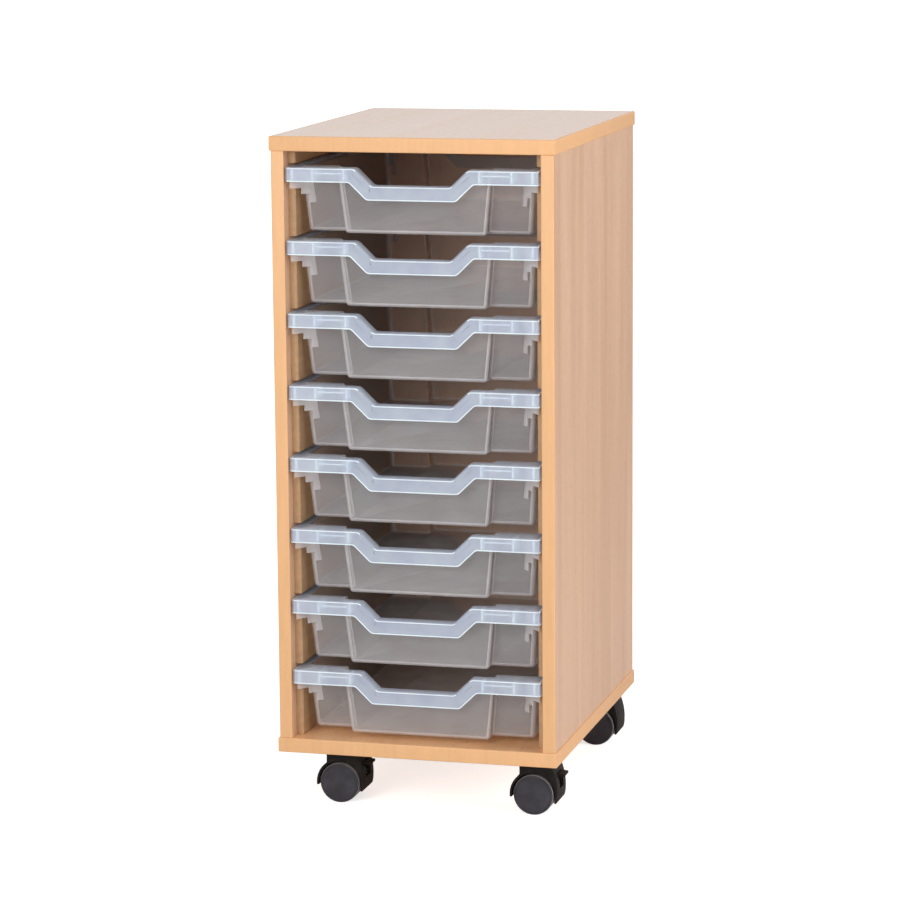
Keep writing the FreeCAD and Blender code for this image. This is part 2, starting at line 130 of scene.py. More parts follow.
class TrayUnitFinish(bpy.types.PropertyGroup):
    laminate_light: colour("Laminate light", "Pale tone of the beech laminate", (0.775, 0.500, 0.330))
    laminate_dark: colour("Laminate dark", "Darker tone of the beech laminate", (0.675, 0.408, 0.250))
    # The base board's two tones are brighter and warmer than the other boards': painted warm light on the
    # board inside the cabinet.
    base_painted_light_pale: colour("Base light", "Pale tone of the base board's warmer laminate", (0.940, 0.550, 0.290))
    base_painted_light_deep: colour("Base dark", "Darker tone of the base board's laminate", (0.860, 0.470, 0.225))
    # The back board's inner face takes warmer, brighter tones than its outer face: painted warm bounce light
    # inside the cabinet.
    inner_painted_bounce_pale: colour("Inner light", "Pale tone of the back board's inner face", (0.900, 0.440, 0.190))
    inner_painted_bounce_deep: colour("Inner dark", "Darker tone of the back board's inner face", (0.840, 0.390, 0.155))
    edge_round: length("Edging's rounding", "Radius of the edging's outer edges", 0.7 * MM)
    fleck: colour("Flecks", "Short darker flecks of the beech laminate", (0.480, 0.260, 0.130))
    edging: colour("Edging", "Edging round the boards", (0.810, 0.462, 0.225))
    # The runners' tone, darker than the beech boards, is painted shade inside the cabinet; the tongues share
    # it.
    runner: colour("Runners", "Runner strips", (0.440, 0.265, 0.135))
    tray: colour("Tray rims", "Frosted plastic of the trays' rims", (0.720, 0.810, 1.000))
    tray_wall: colour("Tray walls", "Frosted plastic of the thinner walls", (0.970, 0.905, 0.900))
    castor: colour("Castor", "Castor housings and levers", (0.010, 0.008, 0.007))
    wheel: colour("Wheel", "Castor wheels", (0.036, 0.033, 0.040))
    tread: colour("Tread", "Soft treads of the wheels", (0.240, 0.230, 0.220))
    steel: colour("Steel", "Stems and axles", (0.560, 0.560, 0.550))


class TrayUnitCastor(bpy.types.PropertyGroup):
    shoulder: length("Tread shoulder", "Rounding of the tread's edges", 2.4 * MM)
    groove: length("Face groove", "Depth of the ring groove in the wheel's face", 0.35 * MM)
    cap: length("Cap radius", "Radius of the domed cap", 21.6 * MM)
    rim: length("Rim radius", "Inner radius of the wheel's rim", 22.3 * MM)
    rim_round: length("Rim rounding", "Slope at both sides of the ring groove", 0.3 * MM)
    well: length("Well radius", "Radius of the well in the wheel's inner face", 21.5 * MM)
    well_floor: length("Well floor", "Radius of the well at its floor", 20.5 * MM)
    well_depth: length("Well depth", "Depth of that well", 6.0 * MM)
    hub_floor: length("Hub at the floor", "Radius of the hub at the well's floor", 9.0 * MM)
    hub: length("Hub radius", "Radius of the hub at the wheel's inner face", 8.0 * MM)
    bore: length("Bore radius", "Radius of the axle's blind bore", 4.2 * MM)
    housing_round: length("Housing rounding", "Radius of the edges of housings and levers", 0.9 * MM)


class TrayUnitStage(bpy.types.PropertyGroup):
    distance: length("Camera distance", "From the target to the camera", 4421.0 * MM)
    azimuth: bpy.props.FloatProperty(name="Azimuth", description="Camera's turn to the right",
                                     default=math.radians(15.01), subtype="ANGLE")
    elevation: bpy.props.FloatProperty(name="Elevation", description="Camera's height angle",
                                       default=math.radians(9.90), subtype="ANGLE")
    roll: bpy.props.FloatProperty(name="Roll", description="Camera's roll",
                                  default=math.radians(-0.46), subtype="ANGLE")
    lens: bpy.props.FloatProperty(name="Lens", description="Focal length in millimetres", default=140.18)
    target: length("Target height", "Height that the camera looks at", 443.0 * MM)
    aside: length("Aside", "How far the camera is moved to its right", -13.8 * MM)
    above: length("Above", "How far the camera is moved up", -29.2 * MM)
    fill: colour("Fill", "Soft light from all round, warmed by the room", (0.370, 0.330, 0.320))


# ---------------------------------------------------------------- modelling helpers
def only(obj):
    """Makes one object the only selected and the active one."""
    bpy.ops.object.select_all(action="DESELECT")
    obj.select_set(True)
    bpy.context.view_layer.objects.active = obj
    return obj


def edit(obj):
    only(obj)
    bpy.ops.object.mode_set(mode="EDIT")


def done():
    bpy.ops.object.mode_set(mode="OBJECT")


def take_all():
    """Selects the whole mesh in edit mode."""
    bpy.ops.mesh.select_all(action="SELECT")


def weld():
    """Joins the points of the mesh in edit mode that lie on each other."""
    take_all()
    bpy.ops.mesh.remove_doubles(threshold=WELD)


def outwards():
    """Turns all faces of the mesh in edit mode to its outside."""
    take_all()
    bpy.ops.mesh.normals_make_consistent(inside=False)


def round_edges(width, segments):
    """Rounds the selected edges."""
    bpy.ops.mesh.bevel(offset=width, segments=segments, affect="EDGES")


def freeze(obj, location=False, rotation=False, scale=False):
    """Bakes the chosen parts of an object's placing into its mesh."""
    only(obj)
    bpy.ops.object.transform_apply(location=location, rotation=rotation, scale=scale)


def assign(obj, slot):
    """Gives the selected faces a material slot, in edit mode."""
    obj.active_material_index = slot
    bpy.ops.object.material_slot_assign()


def pick(kind, test, within=False):
    """Selects what passes the test, in edit mode; within keeps to what is selected already."""
    mesh = bpy.context.edit_object.data
    bpy.ops.mesh.select_mode(type=kind)
    bm = bmesh.from_edit_mesh(mesh)
    items = {"VERT": bm.verts, "EDGE": bm.edges, "FACE": bm.faces}[kind]
    chosen = [item for item in items if (item.select or not within) and test(item)]
    bpy.ops.mesh.select_all(action="DESELECT")
    for item in chosen:
        item.select_set(True)
    bm.select_flush_mode()
    bmesh.update_edit_mesh(mesh)


def middle(item):
    """Centre of an edge."""
    return (item.verts[0].co + item.verts[1].co) / 2


def near(value, target, reach=0.2 * MM):
    return abs(value - target) < reach


def cut(position, normal):
    """Cuts the whole mesh in edit mode by a plane."""
    take_all()
    bpy.ops.mesh.bisect(plane_co=position, plane_no=normal, use_fill=False)


def drag(offset):
    """Extrudes what is selected."""
    bpy.ops.mesh.extrude_region_move(TRANSFORM_OT_translate={"value": offset})


def add_mesh(name, maker, **options):
    """Adds a primitive with nothing else selected, and names it."""
    bpy.ops.object.select_all(action="DESELECT")
    maker(**options)
    obj = bpy.context.active_object
    obj.name = name
    obj.data.name = name
    return obj


def apply_modifier(obj, kind, **settings):
    only(obj)
    modifier = obj.modifiers.new(kind.lower(), kind)
    for key, value in settings.items():
        setattr(modifier, key, value)
    bpy.ops.object.modifier_apply(modifier=modifier.name)


def smooth(obj, degrees=32.0):
    only(obj)
    bpy.ops.object.shade_smooth_by_angle(angle=math.radians(degrees))


def join(obj, others):
    only(obj)
    for other in others:
        other.select_set(True)
    bpy.ops.object.join()
    return obj


def copy_to(obj, name, place):
    """A copy with its own mesh, moved to its place."""
    twin = obj.copy()
    twin.data = obj.data.copy()
    twin.name = name
    twin.data.name = name
    bpy.context.scene.collection.objects.link(twin)
    twin.location = place
    freeze(twin, location=True)
    return twin


def remove(obj):
    bpy.data.objects.remove(obj, do_unlink=True)


def settle(piece, body, slot, *nodes):
    """Puts a finished piece on its body, in place of its nodes."""
    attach(piece, body)
    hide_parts(*nodes)


# ---------------------------------------------------------------- material helpers
class Shader:
    """A node material that is built up step by step."""

    def __init__(self, name):
        self.material = bpy.data.materials.new(name)
        self.material.use_nodes = True
        self.nodes = self.material.node_tree.nodes
        self.links = self.material.node_tree.links
        self.surface = self.nodes["Principled BSDF"]
        self.place = self.nodes.new("ShaderNodeTexCoord").outputs["Object"]

    def set(self, **values):
        for key, value in values.items():
            self.surface.inputs[key.replace("_", " ")].default_value = value

    def stretch(self, scale):
        node = self.nodes.new("ShaderNodeMapping")
        node.inputs["Scale"].default_value = scale
        self.links.new(self.place, node.inputs["Vector"])
        return node.outputs["Vector"]

    def noise(self, vector, scale, detail=2.0, roughness=0.5, distortion=0.0):
        node = self.nodes.new("ShaderNodeTexNoise")
        node.inputs["Scale"].default_value = scale
        node.inputs["Detail"].default_value = detail
        node.inputs["Roughness"].default_value = roughness
        node.inputs["Distortion"].default_value = distortion
        self.links.new(vector, node.inputs["Vector"])
        return node.outputs["Fac"]

    def ramp(self, factor, low, high, colours):
        node = self.nodes.new("ShaderNodeValToRGB")
        node.color_ramp.elements[0].position = low
        node.color_ramp.elements[1].position = high
        for element, value in zip(node.color_ramp.elements, colours):
            element.color = (*value, 1.0)
        self.links.new(factor, node.inputs["Fac"])
        return node.outputs["Color"]

    def grey(self, factor, low, high, first, second):
        node = self.nodes.new("ShaderNodeMapRange")
        node.inputs["From Min"].default_value = low
        node.inputs["From Max"].default_value = high
        node.inputs["To Min"].default_value = first
        node.inputs["To Max"].default_value = second
        self.links.new(factor, node.inputs["Value"])
        return node.outputs["Result"]

    def mix(self, factor, first, second):
        node = self.nodes.new("ShaderNodeMix")
        node.data_type = "RGBA"
        self.links.new(factor, node.inputs[0])
        for socket, value in ((node.inputs[6], first), (node.inputs[7], second)):
            if isinstance(value, bpy.types.NodeSocket):
                self.links.new(value, socket)
            else:
                socket.default_value = (*value, 1.0)
        return node.outputs[2]

    def to(self, output, socket):
        self.links.new(output, self.surface.inputs[socket])

    def bump(self, height, strength, distance):
        node = self.nodes.new("ShaderNodeBump")
        node.inputs["Strength"].default_value = strength
        node.inputs["Distance"].default_value = distance
        self.links.new(height, node.inputs["Height"])
        self.links.new(node.outputs["Normal"], self.surface.inputs["Normal"])


def laminate(name, tones, fleck, grain, roughness, shine, painted_bounce_tones=None, painted_bounce_end=0.0):
    """Beech-print laminate between two tones; grain is 0, 1 or 2 for X, Y or Z.

    The painted bounce tones, if there are any, take over in front of the painted bounce end along Y: painted
    warm bounce light on a face inside the cabinet.
    """
    shader = Shader(name)
    along = [1.0, 1.0, 1.0]
    along[grain] = 0.06
    figure = shader.noise(shader.stretch(along), 28.0, 4.0, 0.55, 0.4)
    tone = shader.ramp(figure, 0.36, 0.66, tones)
    if painted_bounce_tones:
        depth = shader.nodes.new("ShaderNodeSeparateXYZ")
        shader.links.new(shader.place, depth.inputs[0])
        inside = shader.grey(depth.outputs["Y"], painted_bounce_end - 0.5 * MM, painted_bounce_end, 1.0, 0.0)
        tone = shader.mix(inside, tone, shader.ramp(figure, 0.36, 0.66, painted_bounce_tones))
    dashes = [1.0, 1.0, 1.0]
    dashes[grain] = 0.10
    flecks = shader.noise(shader.stretch(dashes), 900.0, 1.0, 0.4)
    shade = shader.mix(shader.grey(flecks, 0.62, 0.72, 0.0, 0.55), tone, fleck)
    shader.to(shade, "Base Color")
    shader.to(shader.grey(figure, 0.3, 0.7, roughness - 0.03, roughness + 0.05), "Roughness")
    shader.bump(flecks, 0.12, 0.15 * MM)
    shader.set(Specular_IOR_Level=shine)
    return shader.material


def edging_plastic(finish):
    """Printed plastic edging with faint streaks."""
    shader = Shader("beech_edging")
    streaks = shader.noise(shader.stretch((1.0, 1.0, 0.12)), 160.0, 3.0, 0.5, 0.2)
    pale = tuple(min(1.0, value * 1.07) for value in finish.edging)
    shader.to(shader.ramp(streaks, 0.3, 0.7, (finish.edging, pale)), "Base Color")
    shader.to(shader.grey(streaks, 0.3, 0.7, 0.40, 0.48), "Roughness")
    shader.bump(streaks, 0.08, 0.1 * MM)
    shader.set(Specular_IOR_Level=0.3)
    return shader.material


def plain_wood(name, tone, grain):
    """Plain board or solid wood with a fine grain."""
    shader = Shader(name)
    along = [1.0, 1.0, 1.0]
    along[grain] = 0.08
    figure = shader.noise(shader.stretch(along), 120.0, 4.0, 0.6, 0.5)
    pale = tuple(min(1.0, value * 1.25) for value in tone)
    shader.to(shader.ramp(figure, 0.3, 0.7, (tone, pale)), "Base Color")
    shader.to(shader.grey(figure, 0.3, 0.7, 0.5, 0.62), "Roughness")
    shader.bump(figure, 0.15, 0.15 * MM)
    return shader.material


def frosted(name, tone, opacity, roughness):
    """Frosted moulded plastic; opacity is how much it hides of what lies behind."""
    shader = Shader(name)
    cloud = shader.noise(shader.stretch((1.0, 1.0, 1.0)), 35.0, 2.0, 0.5)
    grain = shader.noise(shader.stretch((1.0, 1.0, 1.0)), 1400.0, 1.0, 0.5)
    pale = tuple(min(1.0, value * 1.08) for value in tone)
    shader.to(shader.ramp(cloud, 0.3, 0.7, (tone, pale)), "Base Color")
    shader.to(shader.grey(cloud, 0.3, 0.7, opacity * 0.95, min(1.0, opacity * 1.05)), "Alpha")
    shader.to(shader.grey(grain, 0.3, 0.7, roughness - 0.04, roughness + 0.04), "Roughness")
    shader.bump(grain, 0.10, 0.05 * MM)
    shader.set(IOR=1.49)
    return shader.material


def moulded(name, tone, roughness, shine):
    """Dark moulded plastic with a fine spark-eroded grain."""
    shader = Shader(name)
    grain = shader.noise(shader.stretch((1.0, 1.0, 1.0)), 1800.0, 2.0, 0.5)
    wear = shader.noise(shader.stretch((1.0, 1.0, 1.0)), 60.0, 2.0, 0.5)
    pale = tuple(min(1.0, value * 1.5 + 0.004) for value in tone)
    shader.to(shader.ramp(wear, 0.35, 0.75, (tone, pale)), "Base Color")
    shader.to(shader.grey(grain, 0.3, 0.7, roughness - 0.05, roughness + 0.07), "Roughness")
    shader.bump(grain, 0.2, 0.05 * MM)
    shader.set(Specular_IOR_Level=shine)
    return shader.material


def plated_steel(name, tone):
    """Zinc-plated steel with faint turning marks."""
    shader = Shader(name)
    marks = shader.noise(shader.stretch((1.0, 1.0, 30.0)), 90.0, 2.0, 0.5)
    dull = tuple(value * 0.82 for value in tone)
    shader.to(shader.ramp(marks, 0.3, 0.7, (dull, tone)), "Base Color")
    shader.to(shader.grey(marks, 0.3, 0.7, 0.26, 0.40), "Roughness")
    shader.set(Metallic=1.0)
    return shader.material


def coat(node, material):
    """Gives a carried-over node its finish."""
    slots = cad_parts[node].data.materials
    slots.clear()
    slots.append(material)


def eased_copy(node, width, test):
    """Copy of a carried-over node, with the edges that pass the test rounded."""
    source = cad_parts[node]
    twin = bpy.data.objects.new(node + "_eased", source.data.copy())
    bpy.context.scene.collection.objects.link(twin)
    twin.data.materials.clear()
    edit(twin)
    weld()
    take_all()
    bpy.ops.mesh.dissolve_limited(angle_limit=math.radians(0.5))
    pick("EDGE", lambda e: e.calc_face_angle(0.0) > math.radians(30) and test(e))
    round_edges(width, 3)
    done()
    smooth(twin)
    return twin


# ---------------------------------------------------------------- cabinet
class TRAYUNIT_OT_cabinet(bpy.types.Operator):
    """Finish the boards, edging, runners, tongues and castor fittings"""

    bl_idname = "trayunit.cabinet"
    bl_label = "Finish the cabinet"

    def ease_edging(self, node, material, width):
        low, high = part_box(node)

        def outer(edge):
            limit = 2 * width
            return all(spot.co.x > high.x - limit or spot.co.x < low.x + limit
                       or spot.co.y < low.y + limit for spot in edge.verts)

        piece = eased_copy(node, width, outer)
        piece.data.materials.append(material)
        settle(piece, "cabinet", "edging", node)

    def execute(self, context):
        finish = context.scene.trayunit_finish
        tones = (finish.laminate_dark, finish.laminate_light)
        painted_light_base_tones = (finish.base_painted_light_deep, finish.base_painted_light_pale)
        upright = laminate("beech_laminate_upright", tones, finish.fleck, 2, 0.34, 0.55)
        level = laminate("beech_laminate_level", tones, finish.fleck, 1, 0.22, 0.95)
        # The base board takes a brighter, warmer copy of the laminate: painted warm light inside the cabinet.
        base = laminate("beech_laminate_base_painted_light", painted_light_base_tones, finish.fleck, 1, 0.30, 0.45)
        # Inside the cabinet the back board's face takes warmer tones: painted warm bounce light.
        painted_bounce_tones = (finish.inner_painted_bounce_deep, finish.inner_painted_bounce_pale)
        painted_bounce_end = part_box("back_board")[0].y + MM
        back = laminate("beech_laminate_back_painted_bounce", tones, finish.fleck, 2, 0.34, 0.55, painted_bounce_tones, painted_bounce_end)
        edging = edging_plastic(finish)
        # Runner strips and tongues in a darker tone: painted shade inside the cabinet.
        runner = plain_wood("runner_board", finish.runner, 1)
        tongue = plain_wood("tongue_wood", finish.runner, 1)
        steel = plated_steel("zinc_steel", finish.steel)
        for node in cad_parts:
            if node == "top_board":
                coat(node, level)
            elif node == "base_board":
                coat(node, base)
            elif node == "back_board":
                coat(node, back)
            elif node.endswith("_board"):
                coat(node, upright)
            elif node.endswith("_edging"):
                self.ease_edging(node, edging, finish.edge_round)
            elif "_runner_" in node:
                coat(node, runner)
            elif node == "carcass_tongues":
                coat(node, tongue)
            elif node == "castor_inserts" or node.endswith(("_stem", "_axle")):
                coat(node, steel)
        return {"FINISHED"}


# ---------------------------------------------------------------- trays
# The edge finish is a painted highlight: lifted and nearly opaque, it stands for light caught along the
# bands' edges, the ribs and the label ledges.
FINISHES = ("wall", "rim", "edge", "fold")
PAINTED_HIGHLIGHT_LIFTS = {"wall": 1.0, "rim": 1.0, "edge": 1.15, "fold": 1.0}            # how much brighter than its tone; the edge finish's lift is a painted highlight
OPACITIES = {"wall": 0.135, "rim": 0.32, "edge": 0.85, "fold": 0.33}    # how much each surface hides
FROST = 0.36                                                            # roughness of the trays' plastic


def dip_columns(size):
    """Places across the handle's dip, from its middle outwards, with the drop at each."""
    slope = math.atan2(size.dip_drop, size.dip_top - size.dip_floor)
    reach = size.dip_bend * math.tan(slope / 2)
    steps = 3
    columns = []
    for step in range(steps + 1):
        angle = slope * step / steps
        fall = size.dip_bend * (1 - math.cos(angle))
        columns.append((size.dip_floor - reach + size.dip_bend * math.sin(angle), size.dip_drop - fall))
    for step in range(steps, -1, -1):
        angle = slope * step / steps
        fall = size.dip_bend * (1 - math.cos(angle))
        columns.append((size.dip_top + reach - size.dip_bend * math.sin(angle), fall))
    return columns


def drop_at(size, across):
    """How far the band's upper edge lies under the rim."""
    columns = dip_columns(size)
    across = abs(across)
    if across <= columns[0][0]:
        return size.dip_drop
    for (x0, d0), (x1, d1) in zip(columns, columns[1:]):
        if across <= x1:
            return d0 + (d1 - d0) * (across - x0) / max(x1 - x0, 1e-9)
    return 0.0


def tray_sheet(size):
    """Upper skin of the tray: rim, well and outer band, with no thickness yet."""
    half_x, half_y = size.width / 2, size.depth / 2
    tray = add_mesh("tray", bpy.ops.mesh.primitive_plane_add, size=1.0)
    edit(tray)
    take_all()
    bpy.ops.transform.resize(value=(size.width, size.depth, 1.0))
    columns = dip_columns(size)
    across = [size.notch, size.side_top, size.nose_top] + [x for x, drop in columns]
    along = [half_y - size.band_setback, size.nose_end_top, size.recess_top]
    for place in across:
        cut((place, 0, 0), (1, 0, 0))
        cut((-place, 0, 0), (1, 0, 0))
    for place in along:
        cut((0, place, 0), (0, 1, 0))
        cut((0, -place, 0), (0, 1, 0))

    def inside(face):
        spot = face.calc_center_median()
        wide = abs(spot.x) < size.side_top and abs(spot.y) < size.recess_top
        return wide or (abs(spot.x) < size.nose_top and abs(spot.y) < size.nose_end_top)

    # the well, tapered
    floor = -(size.height - size.wall)
    centre = (0.0, 0.0, floor)
    pick("FACE", inside)
    drag((0, 0, floor))
    tapers = (
        (lambda v: near(abs(v.co.x), size.side_top), size.side_floor / size.side_top, 1.0),
        (lambda v: near(abs(v.co.y), size.recess_top) and abs(v.co.x) > size.nose_top - MM,
         1.0, size.recess_floor / size.recess_top),
        (lambda v: near(abs(v.co.x), size.nose_top), size.nose_floor / size.nose_top, 1.0),
        (lambda v: near(abs(v.co.y), size.nose_end_top), 1.0, size.nose_end_floor / size.nose_end_top))
    for test, wide, deep in tapers:
        pick("VERT", lambda v: near(v.co.z, floor) and test(v))
        bpy.ops.transform.resize(value=(wide, deep, 1.0), center_override=centre)
    pick("FACE", lambda f: near(f.calc_center_median().z, floor))
    bpy.ops.mesh.dissolve_faces()

    # the handle's dip at both ends
    for place, drop in columns:
        pick("VERT", lambda v: near(abs(v.co.x), place) and abs(v.co.y) > size.nose_end_top - MM
             and v.co.z > floor / 2)
        bpy.ops.transform.translate(value=(0, 0, -drop))

    # the outer band, ring by ring
    def outer(edge):
        spot = middle(edge)
        return len(edge.link_faces) == 1 and (near(abs(spot.x), half_x) or near(abs(spot.y), half_y))

    pick("EDGE", outer)
    first = size.edge_round + 0.3 * MM
    rings = [first, size.side_lip - size.bead, size.side_lip, size.lip - size.bead, size.lip]
    for depth, above in zip(rings, [0.0] + rings):
        if above == size.side_lip:
            front = -(half_y - size.band_setback)
            pick("EDGE", lambda e: middle(e).y < front or (middle(e).y > half_y - MM
                                                           and abs(middle(e).x) < size.notch), True)
        drag((0, 0, above - depth))

    # in the dip the band's lower rings turn further out
    first_column, last_column = columns[0][0] - MM, columns[-1][0] + MM
    for depth in rings:
        for side in (-1, 1):
            pick("VERT", lambda v: first_column < side * v.co.x < last_column
                 and near(v.co.z, -drop_at(size, v.co.x) - depth) and near(abs(v.co.y), half_y))
            bpy.ops.transform.translate(value=(side * size.dip_lag * depth / size.lip, 0, 0))

    weld()
    outwards()
    bm = bmesh.from_edit_mesh(tray.data)
    lowest = min(bm.faces, key=lambda f: f.calc_center_median().z)
    if lowest.normal.z < 0:
        bpy.ops.mesh.flip_normals()
    done()
    return tray


def round_tray(tray, size):
    """Rounds the corners and edges of the skin."""
    half_x, half_y = size.width / 2, size.depth / 2
    floor = -(size.height - size.wall)

    def upright(edge):
        rise = abs(edge.verts[0].co.z - edge.verts[1].co.z)
        return rise > 0.5 * (edge.verts[0].co - edge.verts[1].co).length

    def folded(edge):
        return len(edge.link_faces) == 2 and edge.calc_face_angle(0.0) > math.radians(12)

    edit(tray)
    pick("EDGE", lambda e: upright(e) and near(abs(middle(e).x), half_x) and near(abs(middle(e).y), half_y))
    round_edges(size.corner, 5)

    # the folds of the walls, which look paler than the walls between them
    fold = FINISHES.index("fold")
    pick("EDGE", lambda e: upright(e) and folded(e) and abs(middle(e).x) > size.side_floor - MM
         and abs(middle(e).x) < size.side_top + MM and abs(middle(e).y) < size.recess_top + MM)
    round_edges(size.corner_fold, 4)
    assign(tray, fold)
    pick("EDGE", lambda e: upright(e) and folded(e) and size.nose_floor - 2 * MM < abs(middle(e).x)
         and abs(middle(e).x) < size.nose_top + MM and abs(middle(e).y) < size.nose_end_top + MM)
    round_edges(size.fold, 3)
    assign(tray, fold)
    pick("EDGE", lambda e: near(e.verts[0].co.z, floor) and near(e.verts[1].co.z, floor) and folded(e))
    round_edges(size.floor_fold, 3)
    assign(tray, fold)

    def rim_edge(edge):
        if upright(edge) and abs(middle(edge).y) < half_y - MM:
            return False
        top = all(near(v.co.z, -drop_at(size, v.co.x), 0.4 * MM) for v in edge.verts)
        return top and folded(edge) and edge.calc_face_angle(0.0) > math.radians(50)

    def on_band(edge):
        spot = middle(edge)
        return abs(spot.x) > half_x - size.corner or abs(spot.y) > half_y - size.corner

    pick("EDGE", lambda e: rim_edge(e) and on_band(e))
    round_edges(size.edge_round, 3)
    pick("EDGE", lambda e: rim_edge(e) and not on_band(e))
    round_edges(size.inner_round, 2)
    done()


def paint_tray(tray, size):
    """Gives the rim its finish, and its upper and lower edges the edge finish, a painted highlight."""
    half_x, half_y = size.width / 2, size.depth / 2
    edit(tray)

    def rim(face):
        spot = face.calc_center_median()
        edge_on = -spot.y > size.nose_end_top or abs(spot.x) > size.side_top
        recess = abs(spot.x) > size.nose_top and -spot.y > size.recess_top and face.normal.z > 0.5
        return (edge_on or recess) and spot.z > -(size.lip + size.dip_drop + MM)

    # faces along the band's upper edge and its lower bead, which take the painted highlight
    def bright(face):
        spot = face.calc_center_median()
        outside = -spot.y > half_y - 0.3 * MM or abs(spot.x) > half_x - size.corner / 2
        if not outside:
            return False
        if spot.z > -drop_at(size, spot.x) - size.edge_round:
            return True
        lower = -size.lip - drop_at(size, abs(spot.x) - size.dip_lag) + size.bead
        return spot.z < lower

    pick("FACE", rim)
    assign(tray, FINISHES.index("rim"))
    pick("FACE", bright)
    assign(tray, FINISHES.index("edge"))
    done()


def rib(name, low, high, ease):
    """Upright rib between two corners, with its free lower edges eased."""
    size = Vector(high) - Vector(low)
    place = (Vector(high) + Vector(low)) / 2
    piece = add_mesh(name, bpy.ops.mesh.primitive_cube_add, size=1.0, location=place)
    edit(piece)
    take_all()
    bpy.ops.transform.resize(value=size, center_override=place)
    done()
    freeze(piece, location=True)
    edit(piece)
    pick("EDGE", lambda e: all(v.co.z < low[2] + 0.1 * MM for v in e.verts))
    round_edges(ease, 2)
    done()
    return piece


def gusset(size):
    """Stepped plate across the front right corner, under the rim."""
    start, end = Vector(size.gusset_start), Vector(size.gusset_end)
    run = end - start
    ends = [(start.x - place) / (start.x - end.x) * run.length for place in size.gusset_steps]
    depths = size.gusset_depths
    plate = add_mesh("gusset", bpy.ops.mesh.primitive_plane_add, size=1.0)
    edit(plate)
    take_all()
    bpy.ops.transform.resize(value=(run.length, depths[0] - size.wall, 1.0))
    bpy.ops.transform.translate(value=(run.length / 2, -(depths[0] + size.wall) / 2, 0))
    for place in ends[:-1]:
        cut((place, 0, 0), (1, 0, 0))
    for place, upper, lower in zip(ends, depths, depths[1:]):
        pick("EDGE", lambda e: near(middle(e).y, -upper) and middle(e).x > place
             and near(e.verts[0].co.y, e.verts[1].co.y))
        drag((0, upper - lower, 0))
    weld()
    done()
    # stood up, turned along its line in plan and put in the corner
    plate.rotation_euler = (math.pi / 2, 0, math.atan2(run.y, run.x))
    plate.location = (start.x, start.y - size.depth / 2, 0)
    freeze(plate, location=True, rotation=True)
    # it ends inside the recess's sloping wall
    edit(plate)
    take_all()
    bpy.ops.mesh.bisect(plane_co=(0, -size.recess_top - size.wall / 2, 0), clear_outer=True, use_fill=False,
                        plane_no=(0, size.height - size.wall, size.recess_top - size.recess_floor))
    done()
    apply_modifier(plate, "SOLIDIFY", thickness=size.gusset_thickness, offset=0.0)
    apply_modifier(plate, "BEVEL", width=size.rib_round, segments=2, limit_method="ANGLE")
    return plate


def mirrored_copy(obj, axes):
    """A copy turned over in the given directions, with its faces outwards again."""
    twin = obj.copy()
    twin.data = obj.data.copy()
    bpy.context.scene.collection.objects.link(twin)
    twin.scale = axes
    freeze(twin, scale=True)
    edit(twin)
    outwards()
    done()
    return twin


def tray_stiffeners(size):
    """Ribs, label ledges and stepped gussets under the rim, at both ends and sides."""
    lip_face = -size.depth / 2 + size.wall - SINK
    top = -size.wall + SINK
    low = -size.rib_depth
    half = size.rib_thickness / 2
    pieces = []
    for place, wall in zip(size.ribs, (size.nose_end_top, size.recess_top)):
        pieces.append(rib("rib", (place - half, lip_face, low), (place + half, -wall - SINK / 2, top),
                          size.rib_round))
    inner, outer, depth = size.label_ledge
    pieces.append(rib("label_ledge", (inner, lip_face, -depth),
                      (outer, lip_face + size.ledge_reach, size.ledge_thickness - depth), size.rib_round))
    place = size.ribs[2]
    side_rib = rib("rib", (place - half, lip_face, low), (place + half, lip_face + size.side_rib, top),
                   size.rib_round)
    front_only = [side_rib, gusset(size)]
    twins = []
    for piece in pieces:
        twins += [mirrored_copy(piece, axes) for axes in ((-1, 1, 1), (1, -1, 1), (-1, -1, 1))]
    for piece in front_only:
        twins.append(mirrored_copy(piece, (-1, 1, 1)))

    # at the back the gussets leave the runners' way clear
    back_gusset = mirrored_copy(front_only[1], (1, -1, 1))
    edit(back_gusset)
    cut((size.notch, 0, 0), (1, 0, 0))
    pick("FACE", lambda f: f.calc_center_median().x > size.notch
         and f.calc_center_median().z < -size.side_lip)
    bpy.ops.mesh.delete(type="FACE")
    take_all()
    bpy.ops.mesh.fill_holes(sides=0)
    done()
    return pieces + front_only + twins + [back_gusset, mirrored_copy(back_gusset, (-1, 1, 1))]


